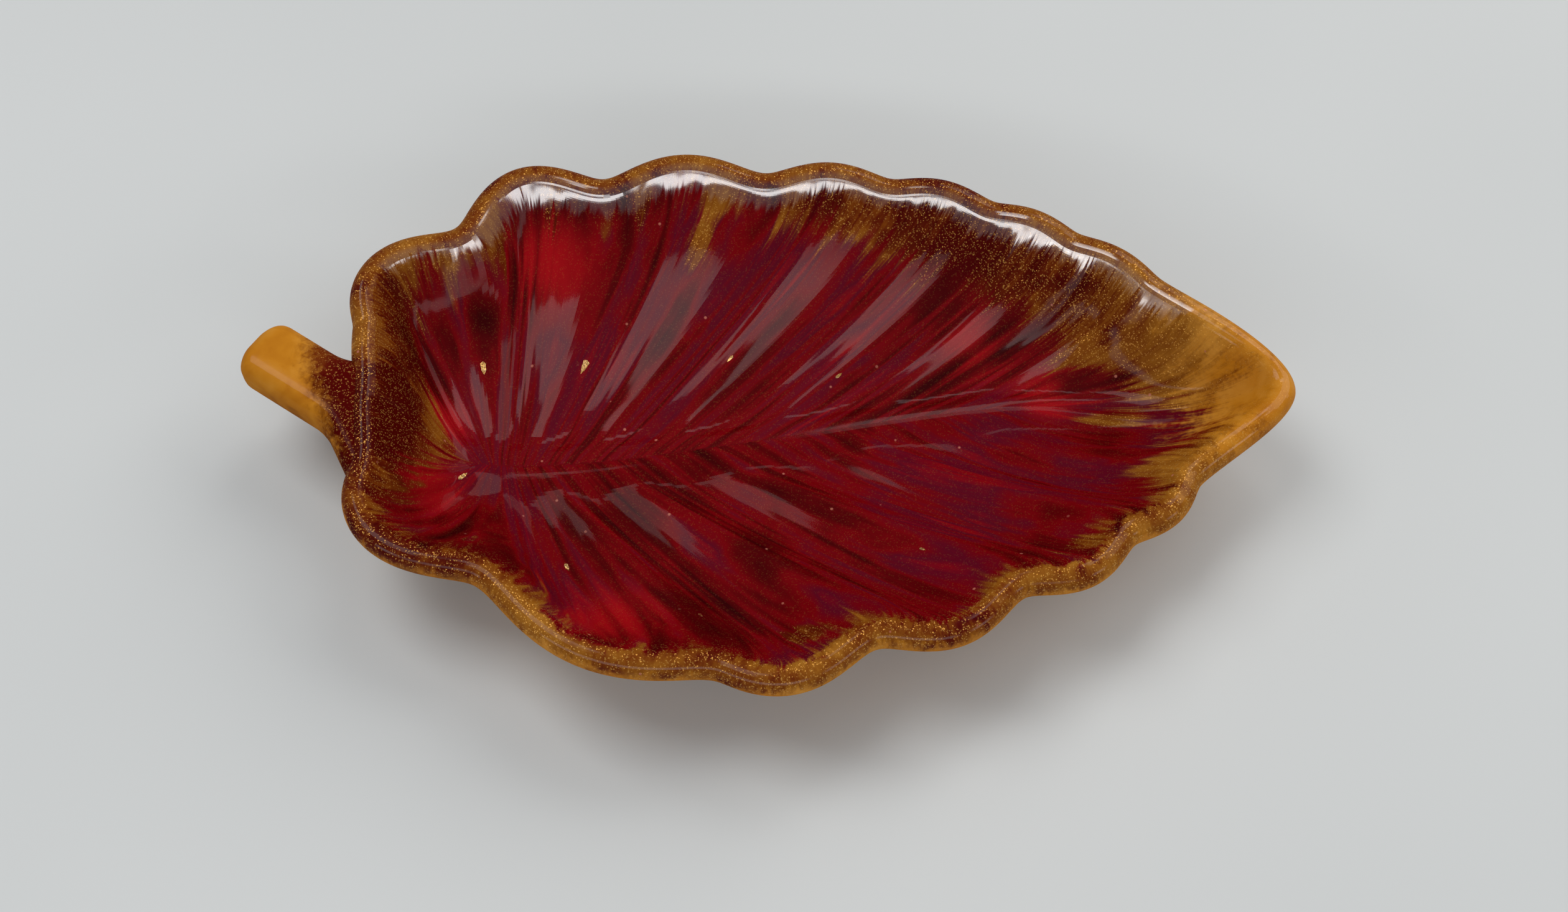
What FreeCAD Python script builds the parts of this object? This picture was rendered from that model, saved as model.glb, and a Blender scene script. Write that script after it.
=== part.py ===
import FreeCAD, Part
import math
import os

from FreeCAD import Vector

# A leaf-shaped ring dish cast in coloured resin. Lengths are in millimetres, angles in degrees.
# The origin is the centre of the flat foot, on the table. +Z is up, +X runs from the stem to the
# tip, and the far half of the leaf is on the +Y side of the midrib.

# Heights and thicknesses
RIM_HEIGHT = 20.0  # table to the top of the lip
NOTCH_DIP = 0.6  # how much lower the lip is at a notch
LIP_THICKNESS = 4.4
WALL_ANGLE = 50.0  # slope of the wall where it meets the lip
FLOOR_THICKNESS = 5.0  # at the middle of the bowl, beside the midrib
COAT_THICKNESS = 1.6  # red face and gold border, on the amber backing
BORDER_WIDTH = 7.0  # how far the gold border runs down the wall inside the lip

# Bends of the wall, as lengths of the handles of its curves
FLOOR_REACH = 24.0  # inside, along the floor
WALL_REACH = 8.0  # inside, down from the lip
UNDERSIDE_WALL_REACH = 6.5  # underside, down from the lip
UNDERSIDE_FLOOR_REACH = 12.0  # underside, along the table from the foot

# Relief of the face
MIDRIB_HEIGHT = 1.2
MIDRIB_WIDTH = 9.0  # at the stem
MIDRIB_TIP_WIDTH = 4.5
MIDRIB_SQUARENESS = 3.0  # 2 is a plain hump, above it the top is flatter
MIDRIB_FADE = (0.55, 0.95)  # shares of the way to the lip over which the midrib dies out
FLUTE_DEPTH = 1.3  # ridge to trough of the veins, one trough in each lobe
FLUTE_START = 10.0  # distance from the midrib at which the veins have their full depth
FLUTE_RISE = 0.1  # share of the way to the lip by which the veins have risen
FLUTE_FADE = 0.7  # share of the way to the lip from which the veins die out

# Plan of the leaf
STEM_ROOT = (-62.5, -1.0)  # middle of the stem, at the edge of the leaf
TIP_POINT = (74.0, 1.1)
TIP_ROUNDNESS = 4.0  # handle of the outline where it reaches the tip
NOTCH_SOFTNESS = 0.25
MIDRIB_START = (-46.0, -4.7)  # where the first veins leave the midrib
MIDRIB_END = (42.0, 4.8)  # where the last veins leave the midrib
MIDRIB_REACH = 18.0  # handles of the midrib's bend
VEIN_CROWDING = 1.9  # above 1, the veins stand closer together at the stem

# Notches from stem to tip, and the bulge of the lobe before each notch and before the tip; the edge
# under the stem has none
FAR_NOTCHES = [
    (-63.5, 11.4),
    (-49.9, 29.3),
    (-27.3, 38.7),
    (-2.7, 39.8),
    (16.6, 38.7),
    (32.3, 34.3),
    (44.6, 28.4),
    (56.3, 20.0),
]
FAR_BULGES = [0.0, 3.7, 5.3, 3.0, 1.8, 1.1, 0.6, 0.6, 0.5]
NEAR_NOTCHES = [
    (-61.6, -11.1),
    (-42.5, -30.4),
    (-9.6, -44.5),
    (12.7, -39.9),
    (33.3, -32.1),
    (49.1, -23.9),
    (59.1, -14.4),
]
NEAR_BULGES = [0.0, 4.0, 3.7, 3.2, 3.5, 2.6, 1.6, 0.5]

# Foot, tip and stem
FOOT_LENGTH = 84.0
FOOT_WIDTH = 40.0
TIP_LENGTH = 11.5  # amber end of the leaf
STEM_LENGTH = 18.6
STEM_WIDTH = 10.2
STEM_THICKNESS = 7.0
STEM_ANGLE = 146.0  # direction of the stem in plan
STEM_EDGE_RADIUS = 2.6
STEM_END_RADIUS = 3.2
STEM_INSET = 8.0  # how far the stem is drawn into the leaf before the leaf is cut out of it
STEM_DROP = 0.5  # how far the top of the stem is below the lip
STEM_FLARE = 5.0  # how much each side of the stem stands out where it is drawn into the leaf
STEM_FLARE_RADIUS = 9.0
STEM_FAR_FLARE_START = 6.0  # distance from the stem's root at which its far side starts to flare
STEM_NEAR_FLARE_START = 1.0

# Gold flakes in the face: half of the leaf, place along the rim, place from midrib to lip, length
FLAKES = [
    ("near", 0.14, 0.14, 1.6),
    ("near", 0.32, 0.31, 1.5),
    ("near", 0.38, 0.62, 1.0),
    ("near", 0.62, 0.60, 1.1),
    ("far", 0.22, 0.31, 2.2),
    ("far", 0.35, 0.28, 2.4),
    ("far", 0.53, 0.32, 1.3),
    ("far", 0.67, 0.26, 1.2),
]
FLAKE_THICKNESS = 0.3
FLAKE_PROUD = 0.08  # how far a flake stands out of the face
FLAKE_SLIMNESS = 0.4  # breadth of a flake for its length
FLAKE_CORNERS = 6
FLAKE_RAGGEDNESS = 0.2  # how much the corners of a flake differ in reach
FLAKE_WANDER = 3.0  # how fast the reach changes from corner to corner, as an angle in radians

# How finely the surfaces are drawn
PANELS = 18  # faces along each half of the outline
PANEL_STEPS = 8  # steps along each of those faces
FIELD_STEPS = 16
FIELD_CROWDING = 1.3  # above 1, the steps of the red face stand closer together at the midrib
BORDER_STEPS = 4
LIP_STEPS = 6
UNDERSIDE_STEPS = 9
MIDRIB_STEPS = 16
DIRECTION_STEP = 1e-4  # share of the outline over which a direction is measured

HALVES = {
    "far": {"notches": FAR_NOTCHES, "bulges": FAR_BULGES, "turn": 1.0},
    "near": {"notches": NEAR_NOTCHES, "bulges": NEAR_BULGES, "turn": -1.0},
}
UP = Vector(0, 0, 1)
LIP_RADIUS = LIP_THICKNESS / 2


def smooth_step(low, high, value):
    """Return 0 below low, 1 above high, and an even bend between."""
    share = min(max((value - low) / (high - low), 0.0), 1.0)
    return share * share * (3 - 2 * share)


def plan(point):
    """Return a plan position as a vector on the table."""
    return Vector(point[0], point[1], 0)


def bezier(start, leave, arrive, end, share):
    """Return a point of a cubic curve with two handles."""
    rest = 1 - share
    return (
        start * rest**3
        + leave * (3 * rest**2 * share)
        + arrive * (3 * rest * share**2)
        + end * share**3
    )


# The outline


def lobe_swell(share):
    """Return how much of its bulge a lobe has at this share of its length, from a rounded notch."""
    wave = math.hypot(math.sin(math.pi * share), NOTCH_SOFTNESS) - NOTCH_SOFTNESS
    return wave / (math.hypot(1, NOTCH_SOFTNESS) - NOTCH_SOFTNESS)


def outline_knots(half):
    """Return the places that one half of the outline passes through, and its heading at each."""
    places = [plan(STEM_ROOT)] + [plan(notch) for notch in half["notches"]] + [plan(TIP_POINT)]
    away = Vector(0, half["turn"], 0)
    headings = [away, away]
    for before, after in zip(places[1:-2], places[3:]):
        headings.append((after - before).normalize())
    headings.append(away * -1)
    return places, headings


def lobe_at(half, along):
    """Return the number of the lobe at this share of the outline, and the share of that lobe."""
    position = along * len(half["bulges"])
    lobe = min(int(position), len(half["bulges"]) - 1)
    return lobe, position - lobe


def swell_at(half, along):
    """Return 0 at a notch and 1 at the crest of a lobe."""
    lobe, share = lobe_at(half, along)
    return lobe_swell(share) if half["bulges"][lobe] > 0 else 0.0


def envelope_point(half, along):
    """Return the outline without its lobes."""
    places, headings = outline_knots(half)
    lobe, share = lobe_at(half, along)
    start = places[lobe]
    end = places[lobe + 1]
    reach = (end - start).Length / 3
    end_reach = TIP_ROUNDNESS if lobe == len(half["notches"]) else reach
    leave = start + headings[lobe] * reach
    arrive = end - headings[lobe + 1] * end_reach
    return bezier(start, leave, arrive, end, share)


def outward(half, curve, along):
    """Return the plan direction that points out of the leaf, square to a curve."""
    if along <= 0:
        return Vector(-1, 0, 0)
    if along >= 1:
        return Vector(1, 0, 0)
    step = min(DIRECTION_STEP, along, 1 - along)
    heading = (curve(half, along + step) - curve(half, along - step)).normalize()
    return Vector(-heading.y, heading.x, 0) * half["turn"]


def rim_point(half, along):
    """Return the outermost point of the lip, in plan."""
    lobe, share = lobe_at(half, along)
    bulge = half["bulges"][lobe] * lobe_swell(share)
    return envelope_point(half, along) + outward(half, envelope_point, along) * bulge


def midrib_point(along):
    """Return where the vein of this share of the outline leaves the midrib, in plan."""
    start = plan(MIDRIB_START)
    end = plan(MIDRIB_END)
    leave = start + (start - plan(STEM_ROOT)).normalize() * MIDRIB_REACH
    arrive = end + (end - plan(TIP_POINT)).normalize() * MIDRIB_REACH
    return bezier(start, leave, arrive, end, along**VEIN_CROWDING)


def midrib_line():
    """Return the whole midrib from stem to tip as short straight lines, in plan."""
    middle = [midrib_point(step / MIDRIB_STEPS) for step in range(MIDRIB_STEPS + 1)]
    return [plan(STEM_ROOT)] + middle + [plan(TIP_POINT)]


def inward(half, along):
    """Return the plan direction across the lip, square to the rim and turned to the midrib at the tip."""
    square = outward(half, rim_point, along) * -1
    to_midrib = (midrib_point(along) - rim_point(half, along)).normalize()
    last_lobe = 1 - 1 / len(half["bulges"])
    blend = smooth_step(last_lobe, 1.0, along)
    return (square * (1 - blend) + to_midrib * blend).normalize()


# Sections of the leaf from the midrib to the lip


def relief(half, along, across, place):
    """Return the height of the midrib and the veins above the plain bowl."""
    line = midrib_line()
    aside = min(place.distanceToLineSegment(start, end).Length for start, end in zip(line, line[1:]))
    width = MIDRIB_WIDTH + (MIDRIB_TIP_WIDTH - MIDRIB_WIDTH) * along
    rib = math.exp(-((2 * aside / width) ** MIDRIB_SQUARENESS)) * (1 - smooth_step(*MIDRIB_FADE, across))
    fade_in = smooth_step(0.0, FLUTE_START, aside) * smooth_step(0.0, FLUTE_RISE, across)
    fade_out = 1 - smooth_step(FLUTE_FADE, 1.0, across)
    flute = (0.5 - swell_at(half, along)) * fade_in * fade_out
    return UP * (MIDRIB_HEIGHT * rib + FLUTE_DEPTH * flute)


def lip_point(half, along, depth, angle):
    """Return a point of the lip, at a depth under its skin; angle 0 is its outermost point."""
    centre = rim_point(half, along) + inward(half, along) * LIP_RADIUS
    height = RIM_HEIGHT - LIP_RADIUS - NOTCH_DIP * (1 - swell_at(half, along))
    turn = math.radians(angle)
    aside = inward(half, along) * -math.cos(turn)
    return centre + UP * height + (aside + UP * math.sin(turn)) * (LIP_RADIUS - depth)


def wall_slope(half, along):
    """Return the direction down the wall from the lip."""
    slope = math.radians(WALL_ANGLE)
    return inward(half, along) * math.cos(slope) - UP * math.sin(slope)


def bowl_point(half, along, depth, across):
    """Return a point of the face of the bowl, at a depth under it; across is 0 at the midrib."""
    start = midrib_point(along) + UP * (FLOOR_THICKNESS - depth)
    end = lip_point(half, along, depth, 90 + WALL_ANGLE)
    heading = Vector(end.x - start.x, end.y - start.y, 0)
    reach = min(FLOOR_REACH, heading.Length - WALL_REACH)
    leave = start + heading.normalize() * reach
    arrive = end + wall_slope(half, along) * WALL_REACH
    place = bezier(start, leave, arrive, end, across)
    return place + relief(half, along, across, Vector(place.x, place.y, 0))


def border_start(half, along):
    """Return the share of the way from midrib to lip at which the gold border starts."""
    lip = lip_point(half, along, 0.0, 90 + WALL_ANGLE)
    span = Vector(lip.x, lip.y, 0).sub(midrib_point(along)).Length
    return 1 - BORDER_WIDTH / span


def foot_point(half, along):
    """Return a point of the edge of the foot."""
    axis = (plan(MIDRIB_END) - plan(MIDRIB_START)).normalize()
    side = UP.cross(axis) * half["turn"]
    turn = math.pi * along
    return axis * (-math.cos(turn) * FOOT_LENGTH / 2) + side * (math.sin(turn) * FOOT_WIDTH / 2)


def field_section(half, along, depth):
    """Return the section of the red face, from the midrib to the gold border."""
    edge = border_start(half, along)
    shares = [edge * (step / FIELD_STEPS) ** FIELD_CROWDING for step in range(FIELD_STEPS + 1)]
    return [bowl_point(half, along, depth, share) for share in shares]


def border_section(half, along, depth):
    """Return the section of the gold border, from the red face over the lip to its outermost line."""
    edge = border_start(half, along)
    wall = [edge + (1 - edge) * step / BORDER_STEPS for step in range(BORDER_STEPS)]
    section = [bowl_point(half, along, depth, share) for share in wall]
    start = 90 + WALL_ANGLE
    for step in range(LIP_STEPS + 1):
        section.append(lip_point(half, along, depth, start * (1 - step / LIP_STEPS)))
    return section


def underside_section(half, along):
    """Return the section of the underside, from the outermost line of the lip to the foot."""
    end_angle = WALL_ANGLE - 90
    lip_steps = LIP_STEPS // 2
    section = [lip_point(half, along, 0.0, end_angle * step / lip_steps) for step in range(lip_steps)]
    start = lip_point(half, along, 0.0, end_angle)
    foot = foot_point(half, along)
    to_lip = Vector(start.x - foot.x, start.y - foot.y, 0)
    reach = min(UNDERSIDE_FLOOR_REACH, to_lip.Length - UNDERSIDE_WALL_REACH)
    leave = start + wall_slope(half, along) * UNDERSIDE_WALL_REACH
    arrive = foot + to_lip.normalize() * reach
    for step in range(UNDERSIDE_STEPS + 1):
        section.append(bezier(start, leave, arrive, foot, step / UNDERSIDE_STEPS))
    return section


# Surfaces and solids


def smooth_poles(points):
    """Return the control points of the even cubic curve through a row of points."""
    curve = Part.BSplineCurve()
    curve.interpolate(Points=points, Parameters=[float(number) for number in range(len(points))])
    return curve.getPoles()


def knot_row(count, degree):
    """Return the knots of an even curve through so many points, and how often each is repeated."""
    knots = [float(number) for number in range(count)]
    repeats = [degree + 1] + [1] * (count - 2) + [degree + 1]
    return knots, repeats


def skin(rows):
    """Return smooth faces through rows of points; two points in a row are joined by a straight line."""
    straight = len(rows[0]) == 2
    lines = rows if straight else [smooth_poles(row) for row in rows]
    columns = [smooth_poles(list(column)) for column in zip(*lines)]
    poles = [list(row) for row in zip(*columns)]
    across_degree = 1 if straight else 3
    along_knots, along_repeats = knot_row(len(rows), 3)
    across_knots, across_repeats = knot_row(len(rows[0]), across_degree)
    surface = Part.BSplineSurface()
    surface.buildFromPolesMultsKnots(
        poles, along_repeats, across_repeats, along_knots, across_knots, False, False, 3, across_degree
    )
    return [panel(surface, number) for number in range(PANELS)]


def panel(whole, number):
    """Return one of the faces that a long surface is split into."""
    surface = whole.copy()
    start = number * PANEL_STEPS
    across = surface.bounds()[2:]
    surface.segment(start, start + PANEL_STEPS, across[0], across[1])
    return surface.toShape()


def solid_from(faces):
    """Return the solid that a closed set of faces bounds."""
    shell = Part.Shell(faces)
    shell.sewShape()
    solid = Part.Solid(Part.Shell(shell.Faces))
    if solid.Volume < 0:
        solid.reverse()
    return solid


def steps_along():
    """Return the shares of the outline at which sections are drawn."""
    columns = PANELS * PANEL_STEPS
    return [column / columns for column in range(columns + 1)]


def drawn(half, section, *depth):
    """Return the faces through one kind of section all along a half of the leaf."""
    return skin([section(half, along, *depth) for along in steps_along()])


def step_faces(half, section, end):
    """Return the faces that join one end of a section to the same end of it under the coat."""
    rows = []
    for along in steps_along():
        rows.append([section(half, along, 0.0)[end], section(half, along, COAT_THICKNESS)[end]])
    return skin(rows)


def foot_face(underside):
    """Return the flat face that the dish rests on, inside the lowest edges of the underside."""
    lowest = [min(face.Edges, key=lambda edge: edge.BoundBox.ZMax) for face in underside]
    return Part.Face(Part.Wire(Part.__sortEdges__(lowest)))


def make_underside():
    """Return the faces of the underside, and the foot."""
    underside = []
    for half in HALVES.values():
        underside += drawn(half, underside_section)
    return underside + [foot_face(underside)]


def make_leaf():
    """Return the whole leaf as one block, before it is shared out between the pours."""
    faces = make_underside()
    for half in HALVES.values():
        faces += drawn(half, field_section, 0.0)
        faces += drawn(half, border_section, 0.0)
    return solid_from(faces)


def make_field():
    """Return the red face pour, with the midrib and the veins."""
    faces = []
    for half in HALVES.values():
        faces += drawn(half, field_section, 0.0)
        faces += drawn(half, field_section, COAT_THICKNESS)
        faces += step_faces(half, field_section, -1)
    return solid_from(faces)


def make_border():
    """Return the gold pour of the lip and the top of the wall."""
    faces = []
    for half in HALVES.values():
        faces += drawn(half, border_section, 0.0)
        faces += drawn(half, border_section, COAT_THICKNESS)
        faces += step_faces(half, border_section, 0)
        faces += step_faces(half, border_section, -1)
    return solid_from(faces)


def make_backing():
    """Return the amber back pour, with the flat foot."""
    faces = make_underside()
    for half in HALVES.values():
        faces += drawn(half, field_section, COAT_THICKNESS)
        faces += drawn(half, border_section, COAT_THICKNESS)
        faces += step_faces(half, border_section, -1)
    return solid_from(faces)


def tip_block():
    """Return the block of space that holds the amber tip."""
    side = 2 * RIM_HEIGHT
    corner = Vector(TIP_POINT[0] - TIP_LENGTH, TIP_POINT[1] - side / 2, -RIM_HEIGHT / 2)
    return Part.makeBox(TIP_LENGTH + RIM_HEIGHT, side, side, corner)


def stem_outline():
    """Return the plan of the stem along +X, with sides that flare towards the leaf."""
    half_width = STEM_WIDTH / 2
    root_half = half_width + STEM_FLARE
    corners = [
        Vector(-STEM_INSET, root_half, 0),
        Vector(-STEM_INSET, -root_half, 0),
        Vector(STEM_FAR_FLARE_START, -half_width, 0),
        Vector(STEM_LENGTH, -half_width, 0),
        Vector(STEM_LENGTH, half_width, 0),
        Vector(STEM_NEAR_FLARE_START, half_width, 0),
    ]
    return Part.Face(Part.makePolygon(corners + corners[:1]))


def upright_edges(bar, least, most):
    """Return the upright edges of the stem's bar between two distances from its root."""
    edges = [edge for edge in bar.Edges if edge.BoundBox.ZLength > STEM_THICKNESS / 2]
    return [edge for edge in edges if least < edge.BoundBox.Center.x < most]


def outer_edges(bar):
    """Return the flat edges of the stem's bar, along its sides and its free end."""
    edges = [edge for edge in bar.Edges if edge.BoundBox.ZLength < STEM_THICKNESS / 2]
    return [edge for edge in edges if edge.BoundBox.XMax > -STEM_INSET / 2]


def make_stem(leaf):
    """Return the stub stem, a rounded bar that ends on the crest of the lip."""
    top = RIM_HEIGHT - NOTCH_DIP - STEM_DROP
    bar = stem_outline().extrude(UP * STEM_THICKNESS)
    bar = bar.makeFillet(STEM_FLARE_RADIUS, upright_edges(bar, -STEM_INSET / 2, STEM_LENGTH / 2))
    bar = bar.makeFillet(STEM_END_RADIUS, upright_edges(bar, STEM_LENGTH - STEM_END_RADIUS, 2 * STEM_LENGTH))
    bar = bar.makeFillet(STEM_EDGE_RADIUS, outer_edges(bar))
    bar.rotate(Vector(0, 0, 0), UP, STEM_ANGLE)
    bar.translate(plan(STEM_ROOT) + UP * (top - STEM_THICKNESS))
    side = 2 * (STEM_WIDTH + 2 * STEM_FLARE)
    corner = plan(STEM_ROOT) + Vector(LIP_RADIUS, -side / 2, 0)
    return bar.cut(leaf).cut(Part.makeBox(side, side, 2 * RIM_HEIGHT, corner))


def make_flake(number, half, along, across, length):
    """Return one flake, lying along the face at its place."""
    here = bowl_point(half, along, 0.0, across)
    step = 1 / (PANELS * PANEL_STEPS)
    ahead = (bowl_point(half, along, 0.0, across + step) - here).normalize()
    aside = (bowl_point(half, along + step, 0.0, across) - here).normalize()
    upright = aside.cross(ahead).normalize()
    if upright.z < 0:
        upright = upright * -1
    side = upright.cross(ahead)
    base = here - upright * (FLAKE_THICKNESS - FLAKE_PROUD)
    corners = []
    for corner in range(FLAKE_CORNERS):
        turn = 2 * math.pi * corner / FLAKE_CORNERS
        reach = length / 2 * (1 + FLAKE_RAGGEDNESS * math.sin(FLAKE_WANDER * corner + number))
        breadth = reach * FLAKE_SLIMNESS
        corners.append(base + ahead * (reach * math.cos(turn)) + side * (breadth * math.sin(turn)))
    return Part.Face(Part.makePolygon(corners + corners[:1])).extrude(upright * FLAKE_THICKNESS)


def make_flakes():
    """Return all the flakes as one group."""
    flakes = []
    for number, (name, along, across, length) in enumerate(FLAKES):
        flakes.append(make_flake(number, HALVES[name], along, across, length))
    return Part.Compound(flakes)


def main():
    leaf = make_leaf()
    tip = tip_block()
    flakes = make_flakes()
    pieces = {
        "red_field": make_field().cut(tip).cut(flakes),
        "gold_border": make_border().cut(tip),
        "amber_backing": make_backing().cut(tip),
        "amber_tip": leaf.common(tip),
        "amber_stem": make_stem(leaf),
        "gold_flakes": flakes,
    }
    os.makedirs("parts", exist_ok=True)
    for name, shape in pieces.items():
        shape.exportStep("parts/" + name + ".step")


main()
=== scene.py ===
import math

import bmesh
import bpy
import numpy as np
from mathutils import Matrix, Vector


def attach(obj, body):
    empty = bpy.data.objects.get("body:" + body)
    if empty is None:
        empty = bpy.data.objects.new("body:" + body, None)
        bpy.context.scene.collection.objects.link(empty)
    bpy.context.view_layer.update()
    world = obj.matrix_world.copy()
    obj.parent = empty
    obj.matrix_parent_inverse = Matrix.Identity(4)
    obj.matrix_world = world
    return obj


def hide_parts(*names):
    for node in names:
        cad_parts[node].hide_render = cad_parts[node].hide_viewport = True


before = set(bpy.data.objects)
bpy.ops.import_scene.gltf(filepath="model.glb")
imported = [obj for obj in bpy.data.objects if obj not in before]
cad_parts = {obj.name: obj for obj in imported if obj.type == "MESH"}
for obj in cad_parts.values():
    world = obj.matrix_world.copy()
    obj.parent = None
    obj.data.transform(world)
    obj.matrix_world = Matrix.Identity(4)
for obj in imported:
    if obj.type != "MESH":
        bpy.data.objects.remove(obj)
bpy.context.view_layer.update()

# The dish is drawn by the same formula as the solids, only more finely, and then lit and coloured.
# Sizes are in millimetres and become metres when a mesh is made. Angles are in degrees.
MM = 0.001

# Heights and thicknesses
RIM_HEIGHT = 20.0
NOTCH_DIP = 0.6
LIP_THICKNESS = 4.4
LIP_RADIUS = LIP_THICKNESS / 2
WALL_ANGLE = 50.0
INNER_LIP_ANGLE = 90 + WALL_ANGLE  # way round the lip, from its outermost line, to the inside wall
OUTER_LIP_ANGLE = WALL_ANGLE - 90  # and to the outside wall
FLOOR_THICKNESS = 5.0
COAT_THICKNESS = 1.6  # of the red and gold pours
BORDER_WIDTH = 7.0

# Bends of the wall
FLOOR_REACH = 24.0
WALL_REACH = 8.0
UNDERSIDE_WALL_REACH = 6.5
UNDERSIDE_FLOOR_REACH = 12.0

# Relief of the face
MIDRIB_HEIGHT = 1.2
MIDRIB_WIDTH = 9.0  # at the stem
MIDRIB_TIP_WIDTH = 4.5
MIDRIB_SQUARENESS = 3.0  # 2 is a plain hump, above it the top is flatter
MIDRIB_FADE = (0.55, 0.95)  # shares of the way to the lip over which the midrib dies out
FLUTE_DEPTH = 1.3  # ridge to trough of the veins, one trough in each lobe
FLUTE_START = 10.0  # distance from the midrib at which the veins have their full depth
FLUTE_RISE = 0.1  # share of the way to the lip by which the veins have risen
FLUTE_FADE = 0.7  # share of the way to the lip from which the veins die out
STREAK_START = 25.0  # distance from the midrib at which the brushed lines have their full height
STREAK_FADE = 0.9  # share of the way to the lip from which they die out
STREAKS = [(3.3, 0.030), (5.7, 0.020), (9.1, 0.012)]  # fine brushed lines: number in a lobe, height

# Plan of the leaf
STEM_ROOT = (-62.5, -1.0)  # middle of the stem, at the edge of the leaf
TIP_POINT = (74.0, 1.1)
TIP_ROUNDNESS = 4.0  # handle of the outline where it reaches the tip
NOTCH_SOFTNESS = 0.25
MIDRIB_START = (-46.0, -4.7)  # where the first veins leave the midrib
MIDRIB_END = (42.0, 4.8)  # where the last veins leave the midrib
MIDRIB_REACH = 18.0  # handles of the midrib's bend
VEIN_CROWDING = 1.9  # above 1, the veins stand closer together at the stem

# Notches from stem to tip, and the bulge of the lobe before each notch and before the tip; the edge
# under the stem has none
FAR_NOTCHES = [
    (-63.5, 11.4),
    (-49.9, 29.3),
    (-27.3, 38.7),
    (-2.7, 39.8),
    (16.6, 38.7),
    (32.3, 34.3),
    (44.6, 28.4),
    (56.3, 20.0),
]
FAR_BULGES = [0.0, 3.7, 5.3, 3.0, 1.8, 1.1, 0.6, 0.6, 0.5]
NEAR_NOTCHES = [
    (-61.6, -11.1),
    (-42.5, -30.4),
    (-9.6, -44.5),
    (12.7, -39.9),
    (33.3, -32.1),
    (49.1, -23.9),
    (59.1, -14.4),
]
NEAR_BULGES = [0.0, 4.0, 3.7, 3.2, 3.5, 2.6, 1.6, 0.5]

# Foot, tip and stem
FOOT_LENGTH = 84.0
FOOT_WIDTH = 40.0
TIP_LENGTH = 11.5  # amber end of the leaf
STEM_LENGTH = 18.6
STEM_WIDTH = 10.2
STEM_THICKNESS = 7.0
STEM_ANGLE = 146.0  # direction of the stem in plan
STEM_EDGE_RADIUS = 2.6
STEM_END_RADIUS = 3.2
STEM_INSET = 8.0  # how far the stem is drawn into the leaf before the leaf is cut out of it
STEM_DROP = 0.5  # how far the top of the stem is below the lip
STEM_FLARE = 5.0  # how much each side of the stem stands out where it is drawn into the leaf
STEM_FLARE_RADIUS = 9.0
STEM_FAR_FLARE_START = 6.0  # distance from the stem's root at which its far side starts to flare
STEM_NEAR_FLARE_START = 1.0

# Gold flakes in the face: half of the leaf, place along the rim, place from midrib to lip, length
FLAKES = [
    ("near", 0.14, 0.14, 1.6),
    ("near", 0.32, 0.31, 1.5),
    ("near", 0.38, 0.62, 1.0),
    ("near", 0.62, 0.60, 1.1),
    ("far", 0.22, 0.31, 2.2),
    ("far", 0.35, 0.28, 2.4),
    ("far", 0.53, 0.32, 1.3),
    ("far", 0.67, 0.26, 1.2),
]
FLAKE_THICKNESS = 0.3
FLAKE_PROUD = 0.08  # how far a flake stands out of the face
FLAKE_SLIMNESS = 0.4  # breadth of a flake for its length
FLAKE_CORNERS = 6
FLAKE_RAGGEDNESS = 0.2  # how much the corners of a flake differ in reach
FLAKE_WANDER = 3.0  # how fast the reach changes from corner to corner, as an angle in radians
FLAKE_STEP = 0.01  # step along and across the face that gives its slope at a flake

# Material slots of the pours of the leaf, by node
POUR_SLOTS = {
    "red_field": "red_resin",
    "gold_border": "gold_mica_resin",
    "amber_backing": "amber_resin",
    "amber_tip": "amber_resin",
}

# Places of the colours
AMBER_TIP_START = 60.5  # where the amber of the tip starts, along X
AMBER_TIP_FADE = 7.0  # how gently it starts
AMBER_LIP_START = 4.7  # way round the lip, from its inside, at which the amber starts
PAINTED_GLOWS = [  # painted glow: soft bright spots in the red where the resin is clearer; the light through it and part of the room's reflection are painted in as brighter red. Place in plan, size
    (-35.5, 28.0, 7.0),
    (-24.0, -33.5, 7.0),
    (28.8, 14.3, 5.0),
    (-51.0, 2.5, 5.0),
    (-51.5, -10.3, 5.0),
    (39.3, 6.3, 5.0),
]

# Width of the gold zone inside the lip, by lobe; below 0 the zone starts on the lip itself
FAR_GOLD_LOBES = [0.0, 1.0, 2.0, 3.5, 5.0, 7.5, 9.0]
FAR_GOLD_WIDTHS = [12.0, 9.0, 1.5, 2.5, 7.0, 12.0, 12.0]
NEAR_GOLD_LOBES = [0.0, 1.0, 2.0, 3.0, 4.0, 6.0, 8.0]
NEAR_GOLD_WIDTHS = [8.0, 2.0, -1.0, -3.0, -3.0, -3.0, 7.0]
NEAR_NOTCH_GOLD = 3.0  # how much wider the zone is at the notches of the near half
LIP_STEEPNESS = 3.0  # how fast the gold thickens on the lip
GOLD_PATCHES = [  # patches of gold in the red: place in plan, length along X, width
    (50.0, 2.6, 9.0, 2.4),
    (42.0, -24.0, 7.0, 3.0),
    (3.3, -36.7, 6.0, 3.0),
    (-12.5, 29.0, 4.0, 7.0),
]
PATCH_STRENGTH = 15.0
PATCH_DROP = 12.0  # taken off the strength everywhere, so that a patch ends
PALE_GOLD = (30.0, 60.0)  # places along X between which the gold turns paler
DARK_ROOT = (-60.0, -2.0, 18.0)  # where the gold is darkest
DARK_GOLD = (13.0, 5.0)  # distances from there between which it turns dark

# Gold of the leaf that is spilt on the root of the stem
SPILL_SIDES = (-9.0, 5.0)  # from the near to the far side of the stem's root
SPILL_REACHES = (1.0, 6.0)  # how far the gold is spilt along the stem at those sides
SPILL_DEPTH = 4.5
SPILL_SOFTNESS = 0.4  # below 1, the edge of the spill is more ragged

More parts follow.
